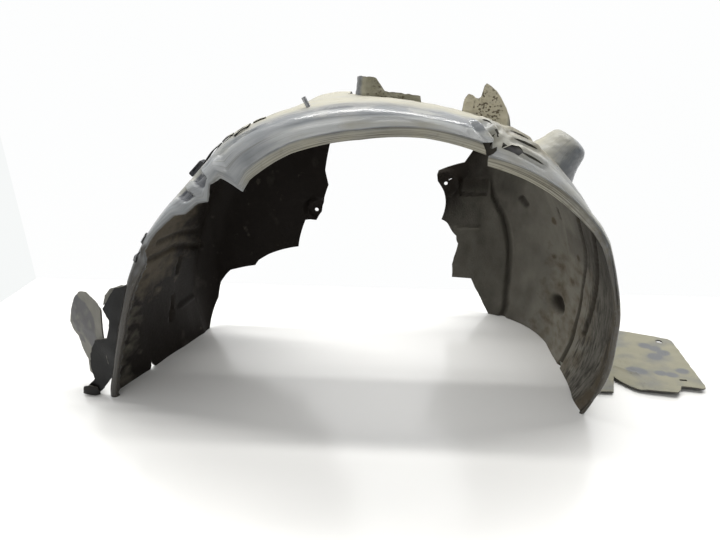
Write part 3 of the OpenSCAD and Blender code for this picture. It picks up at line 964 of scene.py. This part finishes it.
def bore(at, diameter):
    """Round hole in a side panel."""
    turn = np.radians(np.arange(0, 360, 18))
    ring = on_panel(at[0] + diameter / 2 * np.cos(turn), at[1] + diameter / 2 * np.sin(turn))
    return anticlockwise(ring)


def panel_crack(start, end, half):
    """Crack in a side panel between two points seen on it."""
    return slit([on_panel(*p) / (DEGREE, 1) for p in (start, end)], half)


FLAP = [band(115.0, 0.22), band(116.5, 0.40), band(117.6, 0.42), band(118.9, 0.33), band(118.5, 0.22)]
SHEET_HOLES = [
    resample(pattern([band(114.6, 0.36), band(115.6, 0.33), band(114.8, 0.22)]), 2),
    resample(pattern(FLAP), 2.2),
    *(slit([band(*p) for p in path], 1.25) for path in SLITS),
    bore(FRONT_TAB, TAB_BORE),
    bore(REAR_TAB, TAB_BORE),
    panel_crack((132.5, 283.5), (141, 288.6), 1.3),
]


def add_sheet():
    """The moulding's main sheet, finely divided where it is seen closely."""
    steps = [
        (2.8, lambda q: q[:, 1] < 92),
        (3.7, lambda q: (q[:, 1] >= 92) & (q[:, 0] > 133 * DEGREE)),
        (4.9, lambda q: (q[:, 1] >= 92) & (q[:, 0] <= 133 * DEGREE)),
    ]
    piece = add_plate("sheet", sheet_outline(), on_sheet, [OUTER, INNER, TORN], SHEET_HOLES, steps,
                      press=press_sheet, skin=skin_sheet, marks=SHEET_MARKS)
    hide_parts("liner")
    return piece


def add_flap():
    """Torn flap that sank under the tear in the band."""
    def sunken(q):
        a = q[:, 0] / DEGREE
        return press_sheet(q) - 2.5 + 2 * ramp(a, 117.8, 119) + 1.2 * ripple(q, 12, 4)

    loop = np.array(FLAP) + [(-0.5, -1), (0, 2), (0.3, 2), (0.6, 0), (0.3, -3)]
    loop = resample(pattern(loop), 2.2)
    piece = add_plate("torn_flap", loop, on_sheet, [EAR, INNER, TORN], thick=2, press=sunken,
                      marks=SHEET_MARKS)


LUGS = [
    ("lug_long", [(52.6, 71), (57.6, 67), (58.2, 73), (53.2, 78)], 3.4),
    ("lug_low", [(58.7, 67), (61.3, 66), (61.5, 71), (58.9, 72.5)], 2.6),
    ("lug_high", [(61.7, 60), (65.0, 65), (65.2, 72), (61.9, 68)], 3.0),
    ("lug_top", [(65.9, 70), (68.4, 71), (68.4, 75), (65.9, 74.5)], 2.0),
    ("bump_upper", [(31.8, 42), (33.8, 42), (33.8, 64), (31.8, 64)], 2.6),
    ("bump_lower", [(27.2, 40), (30.4, 40), (30.4, 66), (27.2, 66)], 3.0),
]


def add_lugs():
    """Low catches left standing on the front shoulder, dark at their edges."""
    for name, corners, height in LUGS:
        loop = resample(pattern(corners), 1.6, 0.5, 12)
        middle = loop.mean(axis=0)
        window = resample(middle + 0.45 * (loop[::4] - middle), 1.5)

        def raised(q, height=height, middle=middle):
            bow = np.hypot(*(q - middle).T) / 12
            return press_sheet(q) + height - 0.9 * bow ** 2

        piece = add_plate(name, loop, on_sheet, [OUTER, BARE, BARE], [window], [(1.6, everywhere)], 1.6,
                          raised, marks=SHEET_MARKS)


# Collar round the strut tower
COLLAR_X = (-32, 206)
COLLAR_R = 25
COLLAR_BACK = 27
COLLAR_TOP_Z = 485
COLLAR_TOP = [[-50, -5], [-33, -2], [-28, 0], [-8, 0], [-4, -2], [1, -9], [9, -20], [30, -22], [62, -26],
              [66, -60], [123, -60], [124, -40], [127, -29], [132, -23], [138, -24], [143, -28], [148, -29],
              [151, -26], [154, -12], [157, -8], [160, -9], [164, -12], [172, -18], [180, -28], [188, -41],
              [194, -54], [198, -72], [202, -92], [215, -100]]


def roof_height(x, y):
    """Height of the outside of the sheet over a point of the plan, near the crown."""
    a = np.degrees(np.arctan2(np.full(len(x), 400.0), -x))
    for _ in range(8):
        radius, _depth = section(a, wall_v(a, y))
        a = np.degrees(np.arccos(np.clip(-x / radius, -1, 1)))
    return HUB_H + radius * np.sin(np.radians(a))


def collar_path(step):
    """Plan of the collar's outer face, its outward directions and its lengths."""
    left, right = COLLAR_X
    front = COLLAR_Y - WALL_T
    turn = np.radians(np.arange(0, 91, 9))
    bend = [(COLLAR_R * (1 - math.cos(t)), front + COLLAR_R * (1 - math.sin(t))) for t in turn]
    west = [(left + x, y) for x, y in bend]
    east = [(right - x, y) for x, y in bend[::-1]]
    path = resample([(left, COLLAR_Y + COLLAR_BACK)] + west + east + [(right, COLLAR_Y + COLLAR_BACK)],
                    step, closed=False)
    way = unit(np.gradient(path, axis=0))
    return path, np.stack([way[:, 1], -way[:, 0]], -1)


def collar_marks(face, rise):
    """Pits in the mud at the front of the upstands, and mud wiped off round their ends."""
    x, y, _z = face.T
    pitted = np.maximum(hill(x, -20, 0, 30, 60) * 0.30, hill(x, 132, 150, 172, 190) * 0.36)
    pitted = ramp(y, COLLAR_Y + 12, COLLAR_Y) * pitted * (1.05 - 0.5 * ease(rise / 1.6)) + 0.02
    wiped = np.maximum(ramp(x, -20, -28), ramp(x, 186, 200)) * 0.8
    return {"soil": pitted, "haze": wiped, "thin": 0.8 * ramp(x, 130, 60)}


def add_collar():
    """Upturned collar with its top edge broken away, its front crusted with mud."""
    path, out = collar_path(1.6)
    x, y = path.T
    foot = roof_height(x, np.clip(y, COLLAR_Y, None)) - 5
    top = COLLAR_TOP_Z + torn(COLLAR_TOP)(x) + 0.5 * ripple(path, 8, 2)
    rows = 26
    share = np.linspace(0, 1, rows)
    height = foot[:, None] + np.maximum(top - foot, 0.3)[:, None] * share
    face = np.stack([x[:, None] + 0 * height, y[:, None] + 0 * height, height], -1).reshape(-1, 3)
    away = np.repeat(np.concatenate([out, 0 * x[:, None]], 1), rows, axis=0)
    # The upstands flare towards the roof and lean a little, and their faces are lumpy.
    rise = (face[:, 2] - np.repeat(foot, rows)) / 40
    flare = 3.5 * (1 - ease(rise))
    lumps = 0.7 * ripple(face, 11, 8) + 0.8 * ripple(face, 26, 9)
    outer = face + away * (flare + lumps)[:, None]
    inner = face + away * (flare + lumps - 2.6)[:, None]
    faces = grid_faces(len(path), rows)
    tall = np.repeat(top - foot > 1.5, rows)
    faces = faces[tall[faces].all(axis=1)]
    used, faces = np.unique(faces, return_inverse=True)
    marks = {key: value[used] for key, value in collar_marks(face, rise).items()}
    flat = np.stack([face[:, 0] + face[:, 1], face[:, 2]], -1)[used]
    faces = faces.reshape(-1, 3)
    piece = add_solid("collar", outer[used], inner[used], faces, [MUD, MUD, TORN], flat, marks)


# Cone
CONE_A = 129.5
CONE_Y = 108
CONE_FOOT = 382
CONE_SIDE = [(64, -9), (57, -3), (51, 3), (46, 11), (41, 21), (36.5, 32), (33, 42), (30.5, 50), (28.6, 55),
             (26, 58.8), (22.5, 61.3), (17, 62.6), (9, 63), (0.5, 63)]


def on_arch(a, y, foot):
    """Axes and middle of a place on the outside of the arch: along it, across it and outwards."""
    t = math.radians(a)
    out = np.array([-math.cos(t), 0, math.sin(t)])
    along = np.array([math.sin(t), 0, math.cos(t)])
    return np.array([0, y, HUB_H]) + foot * out, along, np.array([0, 1.0, 0]), out


def add_cone():
    """Hollow cone pressed out behind the rear shoulder, closed at its top."""
    middle, along, across, out = on_arch(CONE_A, CONE_Y, CONE_FOOT)
    turns = np.radians(np.arange(0, 360, 4.5))
    side = resample(CONE_SIDE, 2.4, closed=False)
    radius, height = side.T
    ring = np.cos(turns)[:, None, None] * along + np.sin(turns)[:, None, None] * across
    face = middle + ring * radius[None, :, None] + out * height[None, :, None]
    face = face.reshape(-1, 3)
    slope = unit(np.gradient(side, axis=0))
    normal = (ring * slope[None, :, 1, None] - out * slope[None, :, 0, None]).reshape(-1, 3)
    lumps = (0.9 * ripple(face, 30, 11) + 0.3 * ripple(face, 9, 12))[:, None]
    outer = face + normal * lumps
    thick = np.minimum(2.6, np.tile(radius, len(turns)) * 0.9)[:, None]
    inner = outer - normal * thick
    # Painted light and shade: the dust and the dark bare plastic follow the side of the cone, paler on one
    # side and darker on the other.
    shade = np.repeat(np.cos(turns), len(side))
    high = np.tile(height, len(turns))
    soil = 0.5 * ramp(high, 26, 2)
    marks = {
        "haze": np.full(len(face), 0.02),
        "dust": 0.62 - 0.56 * ramp(shade, -0.7, 0.4),
        "soil": soil,
        "wet": soil,
        "dry": np.full(len(face), 0.5),
        "bare": 0.36 * ramp(shade, -0.2, 0.5),
    }
    faces = grid_faces(len(turns), len(side), wrap=True)
    flat = np.stack([high, np.repeat(turns, len(side)) * 40], -1)
    piece = add_solid("cone", outer, inner, faces, [OUTER, INNER, TORN], flat, marks)


# Flange, ear and small torn pieces at the front leg
FLANGE_Y = 4
FLANGE_EDGE = [[21.5, 27], [20.4, 35], [19.4, 46], [18, 50], [13.7, 60], [11.1, 49], [8.6, 51],
               [6.5, 55], [5.6, 74], [3.6, 81], [1.9, 86], [-0.9, 90], [-3.9, 88], [-5.3, 101],
               [-6.4, 113], [-7.3, 107], [-7.4, 90], [-6.6, 80], [-3.7, 60], [-7.2, 58]]
EAR_X = 62
EAR_FOLD = math.radians(32)
EAR_EDGE = [[2, 112], [-2, 150], [-17, 160], [-28, 163], [-45, 168], [-62, 165], [-78, 150], [-92, 126],
            [-97, 103], [-94, 93], [-84, 86], [-75, 84], [-71, 70], [-68, 57], [-60, 46], [-62, 20],
            [-36, 14], [4, 40]]


def plain_marks(**values):
    """The same painted amount all over a piece."""
    return {key: lambda q, value=value: np.full(len(q), float(value)) for key, value in values.items()}


def add_flange():
    """Bolting flange outside the front leg, bent and torn along its outer edge."""
    edge = [polar(a, ARCH_R + r, 0.0)[[0, 2]] for a, r in FLANGE_EDGE]
    inner = []
    for a in range(-7, 23, 4):
        strip = ARCH_R + lip_line(a) + strip_line(a)
        crest = max(strip + 7, ARCH_R + crest_line(a))
        inner.append(polar(a, (strip + crest) / 2 - 2, 0.0)[[0, 2]])
    loop = resample(np.array(edge + inner)[::-1], 2.5, 0.5, 6)

    def place(q):
        x, z = q.T
        a = np.degrees(np.arctan2(z - HUB_H, -x))
        out = np.hypot(x, z - HUB_H) - ARCH_R
        bow = 3.0 * hill(a, -12, -4, 1, 8) * ramp(out, 40, 70)
        bow -= 2.0 * ramp(out, 30, 45) * ramp(a, 6, 12)
        return np.stack([x, FLANGE_Y + 0.5 + bow + 0.8 * ripple(q, 38, 2), z], -1)

    marks = {"dust": lambda q: 0.05 + 0.15 * ramp(q[:, 1], 60, 10)}
    piece = add_plate("flange", loop, place, [BARE, BARE, TORN], thick=2.6, marks=marks)


def add_ear():
    """Ear that hangs folded back behind the flange, creased and crumpled."""
    loop = anticlockwise(resample(EAR_EDGE, 2.5, 0.6, 9))

    def place(q):
        u, z = q.T
        away = 0.16 * np.maximum(z - 106, 0) + 0.1 * np.maximum(-74 - u, 0) + 0.35 * ripple(q, 40, 7)
        x = -ARCH_R - EAR_X + u * math.cos(EAR_FOLD) + away * math.sin(EAR_FOLD)
        y = FLANGE_Y + 4.5 - u * math.sin(EAR_FOLD) + away * math.cos(EAR_FOLD)
        return np.stack([x, y, z], -1)

    def rubbed(q):
        u, z = q.T
        shift = 7 * ripple(q, 30, 5)
        upper = 0.8 * hill(u + shift, -100, -84, -26, -12) * hill(z + 0.5 * u - shift, 60, 66, 118, 126)
        small = hill(u, -74, -68, -58, -52) * hill(z, 74, 80, 88, 94)
        lobe = 0.6 * hill(u, -100, -90, -82, -74) * hill(z, 90, 96, 130, 140)
        return np.clip(np.maximum.reduce([upper, small, lobe]), 0, 1) * 0.9

    piece = add_plate("ear", loop, place, [EAR, EAR, TORN], thick=2.4, marks={"haze": rubbed})


# Each scrap: its name, its outline, its depth, its bow and what it is covered with.
SCRAPS = [
    ("torn_tab", [(-470, 3), (-466, 16), (-455, 20), (-444, 15), (-441, 2), (-450, 0.5)], 2, 7, BARE),
    ("back_plate", [(-411, 162), (-405, 178), (-395, 190), (-376, 196), (-362, 196), (-366, 172)],
     9, 2, EAR),
]


def add_scraps():
    """Small torn pieces: a rounded tab under the ear and a plate behind the top of the flange."""
    for name, corners, depth, bow, skin in SCRAPS:
        loop = resample(anticlockwise(np.array(corners, float)), 2, 0.4, 3)
        middle = loop.mean(axis=0)

        def place(q, depth=depth, bow=bow, middle=middle):
            away = depth + bow * ((q[:, 0] - middle[0]) / 25) ** 2 + 0.5 * ripple(q, 14, 3)
            return np.stack([q[:, 0], away, q[:, 1]], -1)

        marks = plain_marks(haze=0.1, dust=0.5)
        piece = add_plate(name, loop, place, [skin, skin, TORN], steps=[(2.2, everywhere)], thick=2,
                          marks=marks)


# Under tray outside the rear leg
TRAY_Z = 8.5
TRAY_EDGE = [[-216, 60], [-190, 58], [-168, 58], [-162, 74], [-153, 100], [-150, 92], [-143, 84],
             [-132, 72], [-123, 66], [-96, 61], [-66, 57], [-58, 66], [-52, 76], [-36, 74], [-20, 72],
             [-14, 74], [-11, 82], [-6, 150], [-1, 213], [0, 226], [-4, 233], [-14, 236], [-48, 250],
             [-83, 262], [-140, 258], [-210, 252]]
TRAY_SPOTS = [(505.8, 205.8), (519.9, 196), (530.2, 182.7), (509, 171), (448.8, 121.8), (461.4, 119.5),
              (496.8, 115.6), (511.2, 110.5), (536.1, 124.3)]


def tray_outline():
    """Outline of the tray seen from above, following the outside of the rear foot on its inner side."""
    foot_a = 189.0
    foot_y = np.arange(245, 60, -12.0)
    radius, _depth = section(np.full(len(foot_y), foot_a), np.minimum(wall_v(foot_a, foot_y), V_CORNER))
    corner = corner_line(foot_a)
    past = np.clip(foot_y - (depth_line(foot_a) - corner), 0, None)
    foot_x = np.sqrt(radius ** 2 - (HUB_H - TRAY_Z) ** 2) - (corner - np.sqrt(corner ** 2 - past ** 2))
    free = np.array(TRAY_EDGE, float) + (TRAY_END, 0)
    loop = np.concatenate([free, np.stack([foot_x - 2, foot_y], -1)])
    return resample(anticlockwise(loop), 2.6, 0.4, 5)


def add_tray():
    """Flat tray, slightly warped, with a crease, an upturned back edge and wiped spots in its mud."""
    turn = np.radians(np.arange(0, 360, 20))
    hole = np.stack([538 + 6 * np.cos(turn), 221 + 6 * np.sin(turn)], -1)
    slot = resample([(517, 93), (529, 93), (529, 97), (517, 97)], 2)

    def place(q):
        x, y = q.T
        warp = 1.6 * ripple(q, 110, 4) + 0.4 * ripple(q, 28, 6)
        crease = 3.0 * near_line(x / DEGREE, y, [(422.7 / DEGREE, 129.5), (450.7 / DEGREE, 109.7)], 6)
        rim = 3.5 * ramp(y, 246, 262) * ramp(x, 470, 440)
        step = 1.6 * ramp(x, 452, 446)
        return np.stack([x, y, TRAY_Z + warp + crease + rim - step], -1)

    def wiped(q):
        spots = np.maximum.reduce([near_spot(q[:, 0] / DEGREE, q[:, 1], (x / DEGREE, y), (15, 12))
                                   for x, y in TRAY_SPOTS])
        return np.clip(0.3 + 0.3 * ripple(q, 60, 12) + 1.5 * spots, 0, 1)

    marks = plain_marks(soil=0.05, wet=0.05, thin=0.85, dry=0.4)
    marks["haze"] = wiped
    piece = add_plate("tray", tray_outline(), place, [MUD, INNER, TORN], [hole, slot], thick=2.6,
                      marks=marks)


def dress_fixings():
    """The clip and the rivet keep their own shapes, with softened edges."""
    for name, finish in (("edge_clip", CLIP), ("rivet", METAL)):
        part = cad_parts[name]
        part.data.materials.clear()
        part.data.materials.append(finish)
        bevel = part.modifiers.new("soft_edges", "BEVEL")
        bevel.width = 0.4 * MM
        bevel.segments = 2
        bevel.limit_method = "ANGLE"


add_sheet()
add_flap()
add_lugs()
add_collar()
add_cone()
add_flange()
add_ear()
add_scraps()
add_tray()
dress_fixings()


# Booth and light
BACK_WALL_Y = 0.2725
LEFT_WALL_X = -0.856
BOOTH_SIZE = 4.0


def booth_white(tree, shader):
    """White board, painted, with a faint gloss in which the legs show softly."""
    cloud = grain(tree, 300, (1, 1, 1), 3, 1)
    colour = lay(tree, cloud, "#efefed", "#f6f6f4")
    shader.inputs["IOR"].default_value = 2.1
    finish_surface(tree, shader, colour, (cloud, 0.16, 0.24), cloud, 0.0, 0.5)


def wall_white(tree, shader, dim="#fcfdfd", bright="#ffffff"):
    """White wall that shows only from inside the booth and sheds no shadow."""
    cloud = grain(tree, 900, (1, 1, 1), 2, 1)
    glow = node(tree, "Emission", {"Color": lay(tree, cloud, dim, bright), "Strength": 1.0})
    direct = node(tree, "LightPath", output="Is Camera Ray")
    mirrored = node(tree, "LightPath", output="Is Glossy Ray")
    seen = node(tree, "Math", {0: direct, 1: mirrored}, operation="MAXIMUM")
    behind = node(tree, "NewGeometry", output="Backfacing")
    shown = node(tree, "Math", {0: seen, 1: behind}, operation="SUBTRACT", use_clamp=True)
    clear = node(tree, "BsdfTransparent")
    mixed = node(tree, "MixShader", {0: shown, 1: clear, 2: glow})
    tree.links.new(mixed, tree.nodes["Material Output"].inputs["Surface"])
    tree.nodes.remove(shader)


def side_white(tree, shader):
    """The left wall, a shade greyer than the back one."""
    wall_white(tree, shader, "#f4f6f6", "#f8faf9")


def add_board(name, corners, finish):
    """Flat board of the booth."""
    mesh = bpy.data.meshes.new(name)
    mesh.from_pydata(corners, [], [(0, 1, 2, 3)])
    mesh.materials.append(finish)
    board = bpy.data.objects.new(name, mesh)
    bpy.context.collection.objects.link(board)


def add_booth():
    """Floor, back wall and left wall."""
    s = BOOTH_SIZE
    back = BACK_WALL_Y
    left = LEFT_WALL_X
    boards = [
        ("floor", booth_white, [(-s, -s, 0), (s, -s, 0), (s, s, 0), (-s, s, 0)]),
        ("back_wall", wall_white, [(-s, back, 0), (s, back, 0), (s, back, s), (-s, back, s)]),
        ("left_wall", side_white, [(left, -s, 0), (left, s, 0), (left, s, s), (left, -s, s)]),
    ]
    for name, build, corners in boards:
        add_board(name, corners, material(name + "_white", build))


# Tubes overhead: how far back each stands for its height, its power and its width.
TUBES = [(0.18, 32, 0.07), (0.47, 27, 0.2), (1.2, 7, 0.5), (-0.8, 10, 0.05)]
TUBE_LONG = 3.0
TUBE_HIGH = 2.0
AIR_TOWARDS = (-0.6, 0.75, 0.1)
AIR_LEVEL = 0.42
AIR_SLOPE = 0.62
AIR_LEAST = 0.26


def add_light():
    """Long tubes overhead, and the air of the booth, brightest towards the back and left walls."""
    for slope, energy, wide in TUBES:
        lamp = bpy.data.lights.new("tube", "AREA")
        lamp.shape = "RECTANGLE"
        lamp.size = TUBE_LONG
        lamp.size_y = wide
        lamp.energy = energy
        lamp.color = (1.0, 0.99, 0.97)
        tube = bpy.data.objects.new("tube", lamp)
        tube.location = (WHEEL_X * MM, slope * TUBE_HIGH + LIP_DEPTH * MM, TUBE_HIGH)
        tube.rotation_euler = (-math.atan(slope), 0, 0)
        bpy.context.collection.objects.link(tube)
    world = bpy.data.worlds.new("booth_air")
    world.use_nodes = True
    tree = world.node_tree
    way = node(tree, "TexCoord", output="Generated")
    lean = node(tree, "VectorMath", {0: way, 1: AIR_TOWARDS}, output="Value", operation="DOT_PRODUCT")
    level = node(tree, "Math", {0: lean, 1: AIR_SLOPE, 2: AIR_LEVEL}, operation="MULTIPLY_ADD")
    level = node(tree, "Math", {0: level, 1: AIR_LEAST}, operation="MAXIMUM")
    seen = node(tree, "LightPath", output="Is Camera Ray")
    level = node(tree, "Mix", {0: seen, 2: level, 3: 1.0})
    background = tree.nodes["Background"]
    background.inputs["Color"].default_value = (1, 1, 1, 1)
    tree.links.new(level, background.inputs["Strength"])
    bpy.context.scene.world = world


add_booth()
add_light()
bpy.context.scene.view_settings.view_transform = "Standard"
